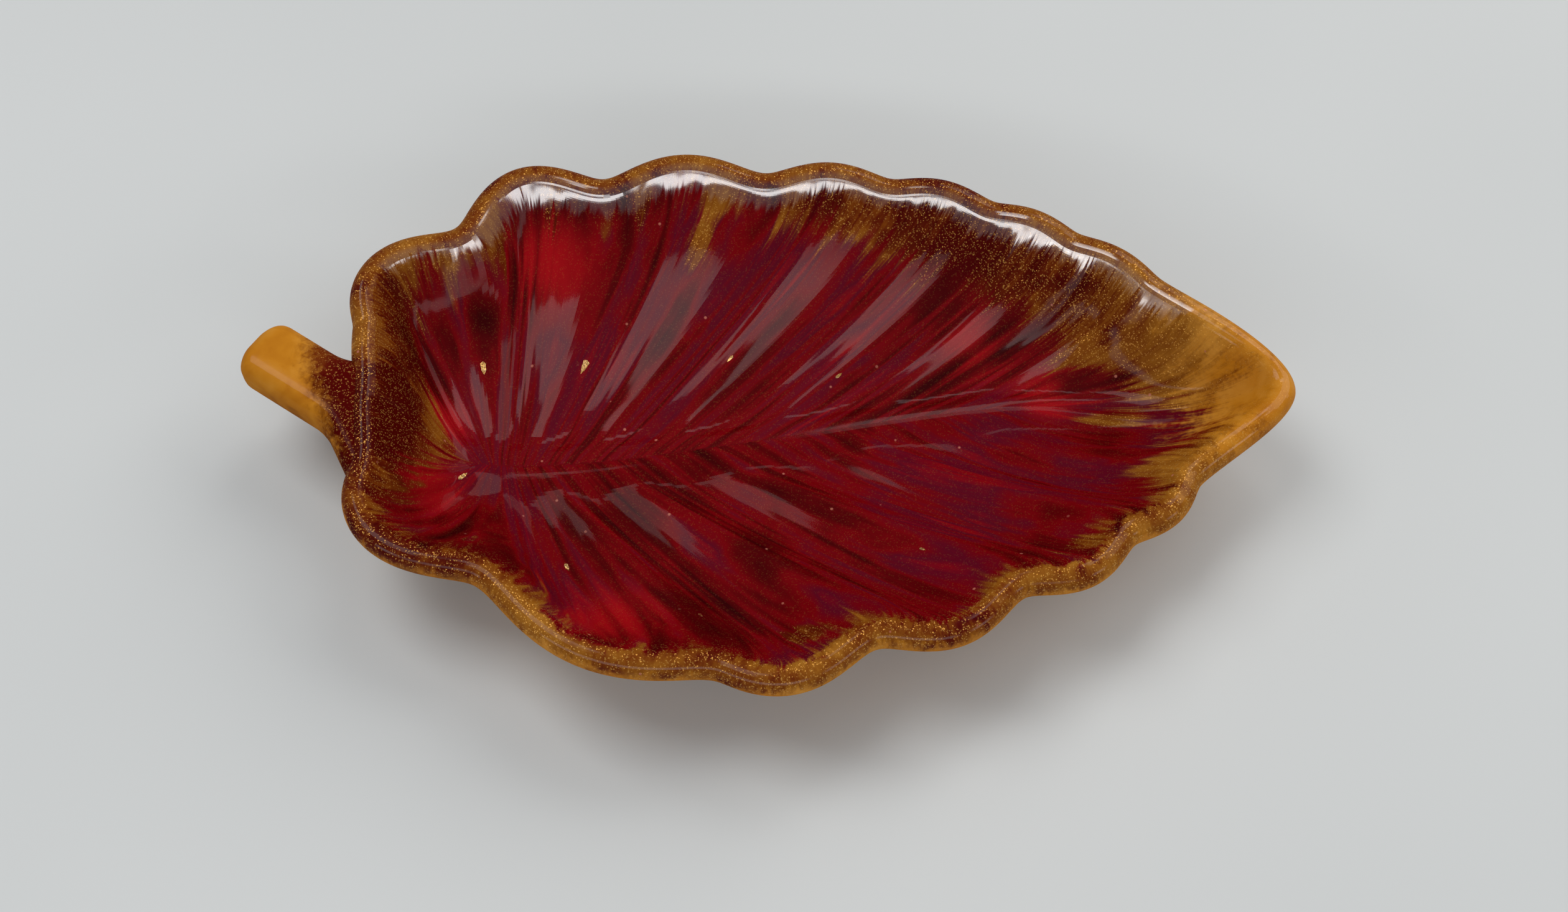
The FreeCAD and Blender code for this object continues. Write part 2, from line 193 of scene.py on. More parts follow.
# Depth of the polished strip under the far lip, by lobe
UNPOLISHED = -20.0  # a depth so far below 0 that there is no strip
POLISH_LOBES = [1.3, 1.45, 1.9, 2.05, 2.25, 4.0, 4.6, 5.6, 6.0, 7.0, 8.2, 8.6]
POLISH_DEPTHS = [UNPOLISHED, 0.1, 0.1, 1.2, 1.9, 1.9, 0.9, 0.9, 1.9, 1.0, 0.7, UNPOLISHED]

# Values that the whole stem stores: how far inside these zones it counts as being
STEM_LEVELS = {"gold_level": 3.0, "lip_level": -6.0, "polish_level": UNPOLISHED, "painted_glow": 0.0}

# Noises of the resin: scale and detail. The streaks follow the veins, so their scale is in lobes, in
# ways from midrib to lip and in halves. The scale of the others is for each metre.
STREAK_NOISES = {"streak": ((6.0, 1.4, 5.0), 4.0), "fine_streak": ((40.0, 3.0, 5.0), 4.0)}
SPREAD_NOISES = {"cloud": (55.0, 3.0), "mottle": (260.0, 4.0), "grain": (1400.0, 2.0)}
NOISE_DISTORTION = 0.5
NOISE_MIDDLE = 0.5

# Zones of the resin: the stored value they follow, the noises that make it waver, the edge of the zone
ZONES = {
    # painted glow: brighter red where the light through the clearer resin is painted in
    "painted_glow": ("painted_glow", {"streak": 2.2}, (0.1, 1.3)),
    "lip": ("lip_level", {"fine_streak": 6.0}, (-3.0, 1.0)),
    "crest": ("lip_level", {}, (0.6, 1.8)),
    "wall": ("lip_level", {}, (-15.0, -7.0)),
    "gold": ("gold_level", {"streak": 24.0, "fine_streak": 10.0}, (-2.0, 3.0)),
    "amber": ("amber_level", {"mottle": 2.0, "grain": 1.5, "streak": 3.0, "fine_streak": 2.0}, (-0.7, 1.1)),
    "polish": ("polish_level", {"fine_streak": 5.0, "streak": 1.5}, (-0.6, 0.6)),
}
NEAR_HALF_EDGE = (0.5, -0.5)  # the far half is stored as 1 and the near half as -1

# Colours of the resin: weights of the noises, and colours by the sum of the noises
RED_MARBLING = {"streak": 0.6, "cloud": 0.4}
RED_STOPS = [
    (0.35, (0.035, 0.0005, 0.0012)),
    (0.44, (0.085, 0.0007, 0.0018)),
    (0.51, (0.155, 0.0010, 0.0030)),
    (0.58, (0.090, 0.0025, 0.0110)),
    (0.68, (0.200, 0.0020, 0.0045)),
]
# colour of the painted glow: the light through the clearer red and part of the reflection, painted in
PAINTED_GLOW_COLOUR = (0.330, 0.0040, 0.0070, 1.0)
GOLD_MARBLING = {"cloud": 0.45, "streak": 0.25, "mottle": 0.15, "fine_streak": 0.15}
GOLD_LIGHTENING = {"lip": 0.07, "pale": 0.08, "root": -0.09}  # by zone
GOLD_STOPS = [
    (0.45, (0.055, 0.0015, 0.0008)),
    (0.51, (0.090, 0.008, 0.0015)),
    (0.55, (0.155, 0.034, 0.0030)),
    (0.62, (0.235, 0.078, 0.007)),
    (0.71, (0.345, 0.138, 0.016)),
]
AMBER_MARBLING = {"cloud": 0.65, "mottle": 0.35}
AMBER_STOPS = [
    (0.38, (0.230, 0.070, 0.004)),
    (0.45, (0.410, 0.140, 0.007)),
    (0.53, (0.480, 0.180, 0.011)),
    (0.64, (0.550, 0.235, 0.028)),
]

# Specks and glitter, each from cells of which a few are picked
SPECK_SCALE = 420.0
SPECK_PICK = (0.86, 0.93)  # random value of a cell from which it starts to show, and shows in full
SPECK_EDGE = (0.12, 0.06)  # distance from its middle at which a speck ends, and is full
SPECK_STRENGTH = 0.7
SPECK_COLOUR = (0.480, 0.160, 0.110, 1.0)
GLITTER_SCALE = 7000.0
GLITTER_PICK = (0.85, 0.98)
GLITTER_SHARES = {"gold": 0.42, "amber": -0.45, "lip": 0.22}  # by zone
LEAST_GLITTER = 0.04
GLITTER_LEAN = 0.9  # how far the grains lean out of the skin
GLITTER_COLOUR = (0.720, 0.370, 0.080, 1.0)

# Finish of the materials
COAT_WEIGHT = 0.060
COAT_CHANGES = {  # by zone
    "amber": 0.045,
    "crest": 0.055,
    "polish": 0.93,
    "wall": -0.026,
    "gold": -0.006,
    "near": -0.026,
}
RESIN_FINISH = {"Roughness": 0.36, "Specular IOR Level": 0.0, "Coat Roughness": 0.09, "Coat IOR": 2.2}
FOIL_CRINKLE = {"Scale": 2500.0, "Detail": 3.0}
FOIL_BUMP = {"Strength": 0.6, "Distance": 0.0002}
FOIL_STOPS = [(0.35, (0.70, 0.34, 0.08)), (0.65, (1.00, 0.64, 0.28))]
FOIL_FINISH = {"Metallic": 1.0, "Roughness": 0.28}
TABLE_TONE = {"Scale": 6.0, "Detail": 2.0}
TABLE_STOPS = [(0.3, (0.545, 0.562, 0.56)), (0.7, (0.585, 0.602, 0.60))]
TABLE_FINISH = {"Roughness": 0.55}

# Stage, in metres
TABLE_REACH = 3.0  # from the middle of the floor to its edges
WHITE = (1.0, 1.0, 1.0)
LIGHTS = [  # name, place, size, power in watts, colour
    ("window", (0.76, 0.64, 0.74), (1.20, 0.80), 7.2, (1.0, 0.98, 0.95)),
    ("ceiling", (-0.40, 0.20, 0.90), (0.50, 0.56), 3.95, WHITE),
    ("skylight", (0.20, 0.56, 0.92), (0.34, 0.24), 1.0, WHITE),
    ("front", (-0.05, -0.75, 0.51), (1.15, 0.105), 1.9, WHITE),
    ("front_left", (-0.73, -0.58, 0.50), (0.36, 0.105), 0.6, WHITE),
    ("front_right", (0.76, -0.46, 0.44), (0.66, 0.105), 1.05, WHITE),
]
LIGHT_TARGET = (0.0, 0.0, 0.01)
ROOM_COLOUR = (0.80, 0.82, 0.86, 1.0)
ROOM_STRENGTH = 0.28
CAMERA_DISTANCE = 0.320
CAMERA_ELEVATION = 60.0
CAMERA_TARGET = (0.0, 0.0, 0.0)
CAMERA_LENS = 48.46  # in millimetres, as is the sensor
CAMERA_SENSOR = 36.0

# How finely the surfaces are drawn
COLUMNS = 576
FIELD_STEPS = 72
FIELD_CROWDING = 1.3  # above 1, the steps of the red face stand closer together at the midrib
BORDER_STEPS = 16
LIP_STEPS = 18
UNDERSIDE_LIP_STEPS = 6
UNDERSIDE_STEPS = 30
HIDDEN_STEPS = 12
MIDRIB_STEPS = 32
STEM_STEPS = 60
STEM_EDGE_STEPS = 8

# Small steps and tolerances
DIRECTION_STEP = 1e-4  # share of the outline over which a direction is measured
NO_LENGTH = 1e-12  # keeps a normal without a length from being divided by 0
LEAST_AGREEMENT = 0.2  # below it, a normal of the formula doesn't fit its face
SHARP_ANGLE = 50.0  # edges of the stem that are sharper than this look sharp
WELD_GAP = 1e-7  # in metres, as is the next
CUT_GAP = 1e-9

UP = np.array([0.0, 0.0, 1.0])


class Half:
    """One half of the leaf, on one side of the midrib."""

    def __init__(self, notches, bulges, turn):
        self.places = np.array([STEM_ROOT] + notches + [TIP_POINT])
        self.bulges = np.array(bulges)
        self.turn = turn
        self.lobes = len(bulges)
        away = np.array([[0.0, turn]])
        between = self.places[3:] - self.places[1:-2]
        self.headings = np.concatenate([away, away, unit(between), -away])


def lengths(vectors):
    """Return the length of each vector."""
    return np.linalg.norm(vectors, axis=-1)


def unit(vectors):
    """Return vectors with their length made 1."""
    return vectors / lengths(vectors)[..., None]


def shares(steps):
    """Return even shares from 0 to 1."""
    return np.linspace(0.0, 1.0, steps + 1)


def smooth_step(low, high, value):
    """Return 0 below low, 1 above high, and an even bend between."""
    share = np.clip((value - low) / (high - low), 0.0, 1.0)
    return share * share * (3 - 2 * share)


def bezier(start, leave, arrive, end, share):
    """Return points of cubic curves with two handles."""
    share = np.asarray(share)[..., None]
    rest = 1 - share
    return start * rest**3 + leave * (3 * rest**2 * share) + arrive * (3 * rest * share**2) + end * share**3


def raised(flat, height):
    """Return plan positions lifted to a height."""
    height = np.broadcast_to(height, flat.shape[:-1])
    return np.concatenate([flat, height[..., None]], axis=-1)


# The outline


def lobe_swell(share):
    """Return how much of its bulge a lobe has at this share of its length."""
    wave = np.hypot(np.sin(np.pi * share), NOTCH_SOFTNESS) - NOTCH_SOFTNESS
    return wave / (math.hypot(1, NOTCH_SOFTNESS) - NOTCH_SOFTNESS)


def lobe_at(half, along):
    """Return the number of the lobe at each share of the outline, and the share of that lobe."""
    position = along * half.lobes
    lobe = np.minimum(position.astype(int), half.lobes - 1)
    return lobe, position - lobe


def swell_at(half, along):
    """Return 0 at a notch and 1 at the crest of a lobe."""
    lobe, share = lobe_at(half, along)
    return np.where(half.bulges[lobe] > 0, lobe_swell(share), 0.0)


def envelope_point(half, along):
    """Return the outline without its lobes."""
    lobe, share = lobe_at(half, along)
    start = half.places[lobe]
    end = half.places[lobe + 1]
    reach = lengths(end - start)[:, None] / 3
    end_reach = np.where((lobe == half.lobes - 1)[:, None], TIP_ROUNDNESS, reach)
    leave = start + half.headings[lobe] * reach
    arrive = end - half.headings[lobe + 1] * end_reach
    return bezier(start, leave, arrive, end, share)


def outward(half, curve, along):
    """Return the plan direction that points out of the leaf, square to a curve."""
    low = np.clip(along - DIRECTION_STEP, 0.0, 1.0)
    high = np.clip(along + DIRECTION_STEP, 0.0, 1.0)
    heading = unit(curve(half, high) - curve(half, low))
    out = np.stack([-heading[:, 1], heading[:, 0]], axis=-1) * half.turn
    out[along <= 0] = (-1.0, 0.0)
    out[along >= 1] = (1.0, 0.0)
    return out


def rim_point(half, along):
    """Return the outermost points of the lip, in plan."""
    lobe, share = lobe_at(half, along)
    bulge = half.bulges[lobe] * lobe_swell(share)
    return envelope_point(half, along) + outward(half, envelope_point, along) * bulge[:, None]


def midrib_point(along):
    """Return where the veins leave the midrib, in plan."""
    start = np.array(MIDRIB_START)
    end = np.array(MIDRIB_END)
    leave = start + unit(start - np.array(STEM_ROOT)) * MIDRIB_REACH
    arrive = end + unit(end - np.array(TIP_POINT)) * MIDRIB_REACH
    return bezier(start, leave, arrive, end, along**VEIN_CROWDING)


def midrib_gap(flat):
    """Return the distance of plan positions from the midrib."""
    middle = midrib_point(shares(MIDRIB_STEPS))
    line = np.concatenate([[STEM_ROOT], middle, [TIP_POINT]])
    gap = np.full(flat.shape[:-1], np.inf)
    for start, end in zip(line, line[1:]):
        span = end - start
        share = np.clip((flat - start) @ span / (span @ span), 0.0, 1.0)
        gap = np.minimum(gap, lengths(flat - start - share[..., None] * span))
    return gap


def inward(half, along):
    """Return the plan direction across the lip, square to the rim and turned to the midrib at the tip."""
    square = -outward(half, rim_point, along)
    to_midrib = unit(midrib_point(along) - rim_point(half, along))
    blend = smooth_step(1 - 1 / half.lobes, 1.0, along)[:, None]
    return unit(square * (1 - blend) + to_midrib * blend)


# Sections of the leaf from the midrib to the lip


def relief(half, along, across, flat):
    """Return the height of the midrib, the veins and the brushed lines above the plain bowl."""
    gap = midrib_gap(flat)
    width = (MIDRIB_WIDTH + (MIDRIB_TIP_WIDTH - MIDRIB_WIDTH) * along)[:, None]
    rib = np.exp(-((2 * gap / width) ** MIDRIB_SQUARENESS)) * (1 - smooth_step(*MIDRIB_FADE, across))
    fade_in = smooth_step(0.0, FLUTE_START, gap) * smooth_step(0.0, FLUTE_RISE, across)
    fade_out = 1 - smooth_step(FLUTE_FADE, 1.0, across)
    flute = (0.5 - swell_at(half, along))[:, None] * fade_in * fade_out
    position = along[:, None] * half.lobes
    brushed = np.zeros_like(gap)
    for number, height in STREAKS:
        brushed += height * np.sin(2 * np.pi * number * position + number * across)
    ends = smooth_step(0.0, 1.0, position) * smooth_step(0.0, 1.0, half.lobes - position)
    at_lip = smooth_step(STREAK_FADE, 1.0, across)
    brushed = brushed * ends * smooth_step(0.0, STREAK_START, gap) * (1 - at_lip)
    return MIDRIB_HEIGHT * rib + FLUTE_DEPTH * flute + brushed


def lip_point(half, along, depth, angle):
    """Return points of the lip, at a depth under its skin; angle 0 is its outermost line."""
    turn = np.radians(angle)[None, :, None]
    across = inward(half, along)[:, None, :]
    centre = rim_point(half, along)[:, None, :] + across * LIP_RADIUS
    height = RIM_HEIGHT - LIP_RADIUS - NOTCH_DIP * (1 - swell_at(half, along))
    radius = LIP_RADIUS - depth
    flat = centre - across * np.cos(turn) * radius
    return raised(flat, height[:, None] + np.sin(turn)[..., 0] * radius)


def wall_top(half, along, depth):
    """Return where the lip meets the inside wall, at a depth under its skin."""
    return lip_point(half, along, depth, np.array([INNER_LIP_ANGLE]))[:, 0]


def wall_slope(half, along):
    """Return the direction down the wall from the lip."""
    slope = math.radians(WALL_ANGLE)
    return raised(inward(half, along) * math.cos(slope), -math.sin(slope))


def bowl_point(half, along, depth, across):
    """Return points of the face of the bowl, at a depth under it; across is 0 at the midrib."""
    start = raised(midrib_point(along), FLOOR_THICKNESS - depth)
    end = wall_top(half, along, depth)
    heading = end[:, :2] - start[:, :2]
    length = lengths(heading)[:, None]
    reach = np.minimum(FLOOR_REACH, length - WALL_REACH)
    leave = start + raised(heading / length * reach, 0.0)
    arrive = end + wall_slope(half, along) * WALL_REACH
    corners = [point[:, None, :] for point in (start, leave, arrive, end)]
    points = bezier(*corners, across)
    points[..., 2] += relief(half, along, across, points[..., :2])
    return points


def border_start(half, along):
    """Return the share of the way from midrib to lip at which the gold border starts."""
    lip = wall_top(half, along, 0.0)[:, :2]
    return 1 - BORDER_WIDTH / lengths(lip - midrib_point(along))


def foot_point(half, along):
    """Return points of the edge of the foot."""
    axis = unit(np.array(MIDRIB_END) - np.array(MIDRIB_START))
    side = np.array([-axis[1], axis[0]]) * half.turn
    turn = np.pi * along[:, None]
    flat = -axis * np.cos(turn) * FOOT_LENGTH / 2 + side * np.sin(turn) * FOOT_WIDTH / 2
    return raised(flat, 0.0)


class Grid:
    """Rows of points from the midrib outward, one row for each step along a half of the outline.

    The place across is 0 at the midrib, 1 where the lip starts, 2 at its outermost line and 3 at the foot.
    """

    def __init__(self, half, along, points, across):
        self.half = half
        self.along = along
        self.points = points
        self.across = np.broadcast_to(across, points.shape[:2])
        self.normals = None

    def part(self, first, last):
        """Return the grid between two steps across, both included."""
        steps = slice(first, last + 1)
        part = Grid(self.half, self.along, self.points[:, steps], self.across[:, steps])
        if self.normals is not None:
            part.normals = self.normals[:, steps]
        return part


def field_grid(half, along, depth, steps):
    """Return the face of the red pour, from the midrib to the gold border."""
    across = border_start(half, along)[:, None] * shares(steps) ** FIELD_CROWDING
    return Grid(half, along, bowl_point(half, along, depth, across), across)


def border_grid(half, along, depth, steps, lip_steps):
    """Return the face of the gold border, from the red face over the lip to its outermost line."""
    edge = border_start(half, along)[:, None]
    across = edge + (1 - edge) * shares(steps)[:-1]
    wall = bowl_point(half, along, depth, across)
    angle = np.linspace(INNER_LIP_ANGLE, 0.0, lip_steps + 1)
    lip = lip_point(half, along, depth, angle)
    lip_across = np.broadcast_to(2 - angle / INNER_LIP_ANGLE, lip.shape[:2])
    points = np.concatenate([wall, lip], axis=1)
    return Grid(half, along, points, np.concatenate([across, lip_across], axis=1))


def underside_grid(half, along):
    """Return the underside, from the outermost line of the lip to the foot."""
    lip = lip_point(half, along, 0.0, np.linspace(0.0, OUTER_LIP_ANGLE, UNDERSIDE_LIP_STEPS + 1))
    start = lip[:, -1]
    foot = foot_point(half, along)
    to_lip = start[:, :2] - foot[:, :2]
    length = lengths(to_lip)[:, None]
    reach = np.minimum(UNDERSIDE_FLOOR_REACH, length - UNDERSIDE_WALL_REACH)
    leave = start + wall_slope(half, along) * UNDERSIDE_WALL_REACH
    arrive = foot + raised(to_lip / length * reach, 0.0)
    corners = [point[:, None, :] for point in (start, leave, arrive, foot)]
    share = np.broadcast_to(shares(UNDERSIDE_STEPS)[1:], (len(along), UNDERSIDE_STEPS))
    points = np.concatenate([lip, bezier(*corners, share)], axis=1)
    return Grid(half, along, points, np.linspace(2.0, 3.0, points.shape[1])[None, :])


def joined(*grids):
    """Return grids that follow each other across as one; each starts on the last line of the one before."""
    first = grids[0]
    points = np.concatenate([first.points] + [grid.points[:, 1:] for grid in grids[1:]], axis=1)
    across = np.concatenate([first.across] + [grid.across[:, 1:] for grid in grids[1:]], axis=1)
    return Grid(first.half, first.along, points, across)


def set_normals(grids):
    """Give the two halves of the leaf normals that agree where the halves meet."""
    for grid in grids:
        along = np.gradient(grid.points, axis=0)
        across = np.gradient(grid.points, axis=1)
        grid.normals = unit(np.cross(across, along) * grid.half.turn + NO_LENGTH * UP)
    far, near = grids
    for place in (np.s_[:, 0], np.s_[0], np.s_[-1]):
        shared = unit(far.normals[place] + near.normals[place])
        far.normals[place] = shared
        near.normals[place] = shared


# Meshes


def grid_faces(columns, rows, first):
    """Return the corners of the quads of a grid whose points are numbered from first."""
    number = first + np.arange(columns * rows).reshape(columns, rows)
    quads = np.stack([number[:-1, :-1], number[1:, :-1], number[1:, 1:], number[:-1, 1:]], axis=-1)
    return quads.reshape(-1, 4)


def point_values(grid):
    """Return what a mesh stores for the points of a grid, by name."""
    return {
        "skin_normal": np.zeros_like(grid.points) if grid.normals is None else grid.normals,
        "vein_place": vein_place(grid),
        "gold_level": gold_level(grid),
        "amber_level": amber_level(grid),
        "lip_level": -rim_gap(grid),
        "polish_level": polish_level(grid),
        # painted glow: the light through the clearer red, painted into the colour
        "painted_glow": painted_glow(grid),
    }


def mesh_of(name, skins, hidden):
    """Return a closed mesh made of seen grids, which bring their normals, and hidden ones."""
    grids = skins + hidden
    faces = []
    seen = []
    count = 0
    for grid in grids:
        columns, rows = grid.points.shape[:2]
        quads = grid_faces(columns, rows, count)
        count += columns * rows
        faces.append(quads)
        seen.append(np.full(len(quads), grid.normals is not None))
    points = np.concatenate([grid.points.reshape(-1, 3) for grid in grids])
    mesh = bpy.data.meshes.new(name)
    mesh.from_pydata(points * MM, [], np.concatenate(faces))
    stored = [point_values(grid) for grid in grids]
    for key in stored[0]:
        parts = [values[key].reshape(-1, *values[key].shape[2:]) for values in stored]
        set_values(mesh, key, np.concatenate(parts))
    mesh.attributes.new("seen", "BOOLEAN", "FACE").data.foreach_set("value", np.concatenate(seen))
    return mesh


def read_values(items, field, width, kind):
    """Return one field of the items of a mesh, with a row for each item."""
    values = np.empty(len(items) * width, dtype=kind)
    items.foreach_get(field, values)
    return values.reshape(-1, width)


def set_values(mesh, name, values):
    """Store a number or a vector for each point of a mesh."""
    kind, field = ("FLOAT_VECTOR", "vector") if values.ndim == 2 else ("FLOAT", "value")
    if name in mesh.attributes:
        mesh.attributes.remove(mesh.attributes[name])
    mesh.attributes.new(name, kind, "POINT").data.foreach_set(field, values.astype(np.float32).ravel())


def weld(mesh, keep_tip=None):
    """Close a mesh along its shared lines, and keep only its tip or all but its tip if that is asked."""
    work = bmesh.new()
    work.from_mesh(mesh)
    bmesh.ops.remove_doubles(work, verts=work.verts, dist=WELD_GAP)
    bmesh.ops.dissolve_degenerate(work, edges=work.edges, dist=WELD_GAP)
    if keep_tip is not None:
        cut_across(work, TIP_POINT[0] - TIP_LENGTH, keep_tip)
        bmesh.ops.dissolve_degenerate(work, edges=work.edges, dist=WELD_GAP)
        close_holes(work)
    store(work, mesh)


def store(work, mesh):
    """Turn the faces of a working mesh outward, and keep the result in a mesh."""
    bmesh.ops.recalc_face_normals(work, faces=work.faces)
    work.to_mesh(mesh)
    work.free()


def cut_across(work, place, keep_beyond):
    """Cut a mesh square to X, and keep what lies beyond that place or what lies before it."""
    bmesh.ops.bisect_plane(
        work,
        geom=list(work.verts) + list(work.edges) + list(work.faces),
        dist=CUT_GAP,
        plane_co=(place * MM, 0, 0),
        plane_no=(1, 0, 0),
        clear_outer=not keep_beyond,
        clear_inner=keep_beyond,
    )


def close_holes(work):
    """Fill the flat holes that a cut has left."""
    rims = [edge for edge in work.edges if edge.is_boundary]
    made = bmesh.ops.edgeloop_fill(work, edges=rims)["faces"]
    seen = work.faces.layers.bool.get("seen")
    for face in made:
        face[seen] = False
    bmesh.ops.triangulate(work, faces=made)


def set_skin_normals(mesh):
    """Shade the seen faces by the normals of the formula, and leave the hidden ones flat."""
    corner_vertex = read_values(mesh.loops, "vertex_index", 1, np.int32)[:, 0]
    sizes = read_values(mesh.polygons, "loop_total", 1, np.int32)[:, 0]
    face_normals = read_values(mesh.polygons, "normal", 3, np.float32)
    seen = read_values(mesh.attributes["seen"].data, "value", 1, bool)[:, 0]
    stored = read_values(mesh.attributes["skin_normal"].data, "vector", 3, np.float32)
    corner_face = np.repeat(np.arange(len(sizes)), sizes)
    normals = stored[corner_vertex]
    flat = face_normals[corner_face]
    agreement = np.einsum("ij,ij->i", normals, flat)
    wrong = ~seen[corner_face] | (agreement < LEAST_AGREEMENT)
    normals[wrong] = flat[wrong]
    mesh.shade_smooth()
    mesh.normals_split_custom_set(normals)


# Where the colours lie on the leaf


def vein_place(grid):
    """Return the place along the lobes, the place across and the half, for streaks along the veins."""
    lobe = np.broadcast_to((grid.along * grid.half.lobes)[:, None], grid.across.shape)
    side = np.full(grid.across.shape, grid.half.turn)
    return np.stack([lobe, grid.across, side], axis=-1)


def rim_gap(grid):
    """Return the distance in from the lip, below 0 on the lip itself."""
    lip = wall_top(grid.half, grid.along, 0.0)[:, None, :2]
    gap = lengths(grid.points[..., :2] - lip)
    lip_length = LIP_RADIUS * math.radians(INNER_LIP_ANGLE)
    return np.where(grid.across <= 1, gap, -(grid.across - 1) * lip_length)


def gold_level(grid):
    """Return how far inside the gold zone a point is; the zone is wide on the far side and at the stem."""
    position = grid.along * grid.half.lobes
    if grid.half.turn > 0:
        width = np.interp(position, FAR_GOLD_LOBES, FAR_GOLD_WIDTHS)
    else:
        width = np.interp(position, NEAR_GOLD_LOBES, NEAR_GOLD_WIDTHS)
        width = width + NEAR_NOTCH_GOLD * (1 - swell_at(grid.half, grid.along))
    gap = rim_gap(grid)
    level = width[:, None] - np.where(gap < 0, LIP_STEEPNESS * gap, gap)
    for patch in GOLD_PATCHES:
        level = np.maximum(level, PATCH_STRENGTH * soft_spot(grid, *patch) - PATCH_DROP)
    return level


def soft_spot(grid, x, y, length, breadth):
    """Return 1 in the middle of a spot, and less and less away from it."""
    away = ((grid.points[..., 0] - x) / length) ** 2 + ((grid.points[..., 1] - y) / breadth) ** 2
    return np.exp(-away)


def amber_level(grid):
    """Return how far inside the amber zone a point is: the tip, and the outside of the lip and below."""
    at_tip = (grid.points[..., 0] - AMBER_TIP_START) / AMBER_TIP_FADE
    under_lip = -rim_gap(grid) - AMBER_LIP_START
    return np.maximum(at_tip, under_lip)


def polish_level(grid):
    """Return how far inside the polished strip a point is; the strip lies under the far lip."""
    if grid.half.turn < 0:
        return np.full(grid.across.shape, UNPOLISHED)
    depth = np.interp(grid.along * grid.half.lobes, POLISH_LOBES, POLISH_DEPTHS)
    return depth[:, None] - rim_gap(grid)


def painted_glow(grid):
    """Return the painted glow at a point, from a few soft spots: the light through the clearer red and part
    of the reflection, painted in as brighter red.
    """
    return sum(soft_spot(grid, x, y, size, size) for x, y, size in PAINTED_GLOWS)


# Pieces


def add_object(name, data):
    """Put a mesh, a light or a camera in the scene."""
    item = bpy.data.objects.new(name, data)
    bpy.context.scene.collection.objects.link(item)
    return item


def add_piece(name, mesh, material, nodes):
    """Put a mesh in the scene as a piece of the dish."""
    piece = add_object(name, mesh)
    mesh.materials.append(material)
    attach(piece, "root")
    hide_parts(*nodes)


def walls_between(uppers, lowers):
    """Return the hidden walls that join the last line of each grid to that of the grid under it."""
    walls = []
    for upper, lower in zip(uppers, lowers):
        points = np.stack([upper.points[:, -1], lower.points[:, -1]], axis=1)
        across = np.stack([upper.across[:, -1], lower.across[:, -1]], axis=1)
        walls.append(Grid(upper.half, upper.along, points, across))
    return walls


def foot_patch(grids):
    """Return the flat foot as two grids, from the foot's edge to its middle line."""
    middle = (grids[0].points[:, -1] + grids[1].points[:, -1]) / 2
    share = shares(HIDDEN_STEPS)[None, :, None]
    patches = []
    for grid in grids:
        edge = grid.points[:, -1]
        points = edge[:, None, :] * (1 - share) + middle[:, None, :] * share
        patch = Grid(grid.half, grid.along, points, 3.0)
        patch.normals = np.broadcast_to(-UP, points.shape)
        patches.append(patch)
    return patches


def whole_grids(halves, along):
    """Return the whole skin of each half of the leaf, from the midrib over the lip to the foot."""
    wholes = []
    for half in halves:
        top = field_grid(half, along, 0.0, FIELD_STEPS)
        lip = border_grid(half, along, 0.0, BORDER_STEPS, LIP_STEPS)
        wholes.append(joined(top, lip, underside_grid(half, along)))
    set_normals(wholes)
    return wholes


def leaf_meshes(halves):
    """Return the pours of the leaf as closed meshes, by node; the tip isn't cut off yet."""
    along = shares(COLUMNS)
    wholes = whole_grids(halves, along)
    equator = FIELD_STEPS + BORDER_STEPS + LIP_STEPS
    last = equator + UNDERSIDE_LIP_STEPS + UNDERSIDE_STEPS
    fields = [whole.part(0, FIELD_STEPS) for whole in wholes]
    borders = [whole.part(FIELD_STEPS, equator) for whole in wholes]
    undersides = [whole.part(equator, last) for whole in wholes]
    hidden = (along, COAT_THICKNESS, HIDDEN_STEPS)
    hidden_fields = [field_grid(half, *hidden) for half in halves]
    hidden_borders = [border_grid(half, *hidden, HIDDEN_STEPS) for half in halves]
    edge_walls = walls_between(fields, hidden_fields)
    lip_walls = walls_between(borders, hidden_borders)
    foot = foot_patch(undersides)
    skins = {  # seen and hidden grids
        "red_field": (fields, hidden_fields + edge_walls),
        "gold_border": (borders, hidden_borders + edge_walls + lip_walls),
        "amber_backing": (undersides + foot, hidden_fields + hidden_borders + lip_walls),
        "amber_tip": (fields + borders + undersides + foot, []),
    }
    return {node: mesh_of(node, *grids) for node, grids in skins.items()}


def make_leaf(halves, materials):
    """Make the pours of the leaf, and return the whole leaf as one mesh for cutting the stem."""
    meshes = leaf_meshes(halves)
    block = meshes["amber_tip"].copy()
    weld(block)
    for node, mesh in meshes.items():
        weld(mesh, keep_tip=node == "amber_tip")
        set_skin_normals(mesh)
        slot = POUR_SLOTS[node]
        add_piece(node + "_resin", mesh, materials[slot], [node])
    return block


def flare(place, start):
    """Return how much a side of the stem stands out at a place along it."""
    slope = math.atan(STEM_FLARE / (start + STEM_INSET))
    bend = STEM_FLARE_RADIUS * math.tan(slope / 2)
    past = start + bend - place
    if past <= 0:
        return 0.0
    if place > start - bend * math.cos(slope):
        return STEM_FLARE_RADIUS - math.sqrt(STEM_FLARE_RADIUS**2 - past**2)
    return (start - place) * math.tan(slope)


